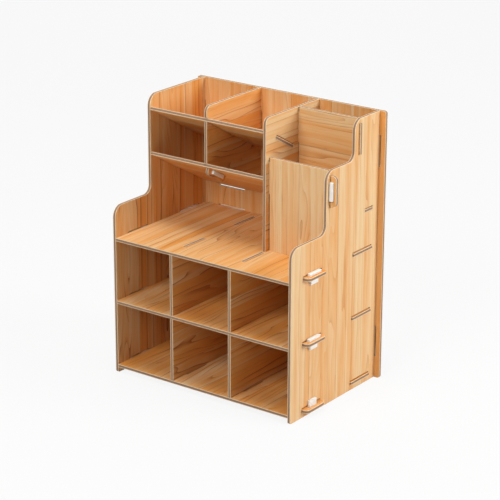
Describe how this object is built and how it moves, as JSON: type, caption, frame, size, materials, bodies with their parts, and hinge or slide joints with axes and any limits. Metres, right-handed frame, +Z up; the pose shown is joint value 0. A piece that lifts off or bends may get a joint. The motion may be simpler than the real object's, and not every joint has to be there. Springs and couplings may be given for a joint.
{
  "type": "desk organizer",
  "caption": "Slot-together wooden desk organizer with open compartments, a desktop shelf, sloping upper bays and a pen box, locked by plastic clips.",
  "frame": {"origin": "centre of the overall box's footprint, on the surface that the organizer stands on", "axes": "+Z up, +Y to the back panel, +X to the pen box's side"},
  "size_m": [0.283, 0.1914, 0.342],
  "materials": {
    "board": "fibreboard faced both sides with a satin printed light pine woodgrain laid as glued strips; raw taupe-brown cut edges",
    "clip": "moulded white plastic, satin"
  },
  "bodies": {
    "cabinet": {"left_side_panel": "board", "right_side_panel": "board", "back_panel": "board", "bottom_shelf": "board", "middle_shelf": "board", "desktop_shelf": "board", "lower_divider_left": "board", "lower_divider_right": "board", "tall_divider": "board", "upper_divider": "board", "upper_sloped_board": "board", "lower_sloped_board": "board", "pen_box_front_board": "board", "pen_box_cross_board": "board", "rear_pocket_floor": "board"},
    "left_bottom_shelf_clip": {"left_bottom_shelf_clip": "clip"},
    "left_middle_shelf_clip": {"left_middle_shelf_clip": "clip"},
    "left_desktop_shelf_clip": {"left_desktop_shelf_clip": "clip"},
    "left_lower_back_clip": {"left_lower_back_clip": "clip"},
    "left_upper_back_clip": {"left_upper_back_clip": "clip"},
    "right_bottom_shelf_clip": {"right_bottom_shelf_clip": "clip"},
    "right_middle_shelf_clip": {"right_middle_shelf_clip": "clip"},
    "right_desktop_shelf_clip": {"right_desktop_shelf_clip": "clip"},
    "right_lower_back_clip": {"right_lower_back_clip": "clip"},
    "right_upper_back_clip": {"right_upper_back_clip": "clip"},
    "pen_box_clip": {"pen_box_clip": "clip"},
    "sloped_board_clip": {"sloped_board_clip": "clip"},
    "upper_divider_clip": {"upper_divider_clip": "clip"}
  },
  "joints": [
    {"name": "left_bottom_shelf_clip_pull", "type": "slide", "parent": "cabinet", "child": "left_bottom_shelf_clip", "axis": [0, 0, -1], "range_m": [0, 0.0035]},
    {"name": "left_middle_shelf_clip_pull", "type": "slide", "parent": "cabinet", "child": "left_middle_shelf_clip", "axis": [0, 0, 1], "range_m": [0, 0.013]},
    {"name": "left_desktop_shelf_clip_pull", "type": "slide", "parent": "cabinet", "child": "left_desktop_shelf_clip", "axis": [0, 0, 1], "range_m": [0, 0.013]},
    {"name": "left_lower_back_clip_pull", "type": "slide", "parent": "cabinet", "child": "left_lower_back_clip", "axis": [-1, 0, 0], "range_m": [0, 0.013]},
    {"name": "left_upper_back_clip_pull", "type": "slide", "parent": "cabinet", "child": "left_upper_back_clip", "axis": [-1, 0, 0], "range_m": [0, 0.013]},
    {"name": "right_bottom_shelf_clip_pull", "type": "slide", "parent": "cabinet", "child": "right_bottom_shelf_clip", "axis": [0, 0, -1], "range_m": [0, 0.0035]},
    {"name": "right_middle_shelf_clip_pull", "type": "slide", "parent": "cabinet", "child": "right_middle_shelf_clip", "axis": [0, 0, 1], "range_m": [0, 0.013]},
    {"name": "right_desktop_shelf_clip_pull", "type": "slide", "parent": "cabinet", "child": "right_desktop_shelf_clip", "axis": [0, 0, 1], "range_m": [0, 0.013]},
    {"name": "right_lower_back_clip_pull", "type": "slide", "parent": "cabinet", "child": "right_lower_back_clip", "axis": [1, 0, 0], "range_m": [0, 0.013]},
    {"name": "right_upper_back_clip_pull", "type": "slide", "parent": "cabinet", "child": "right_upper_back_clip", "axis": [1, 0, 0], "range_m": [0, 0.013]},
    {"name": "pen_box_clip_pull", "type": "slide", "parent": "cabinet", "child": "pen_box_clip", "axis": [0, -1, 0], "range_m": [0, 0.013]},
    {"name": "sloped_board_clip_pull", "type": "slide", "parent": "cabinet", "child": "sloped_board_clip", "axis": [0, 0.4848, 0.8746], "range_m": [0, 0.013]},
    {"name": "upper_divider_clip_pull", "type": "slide", "parent": "cabinet", "child": "upper_divider_clip", "axis": [1, 0, 0], "range_m": [0, 0.013]}
  ]
}
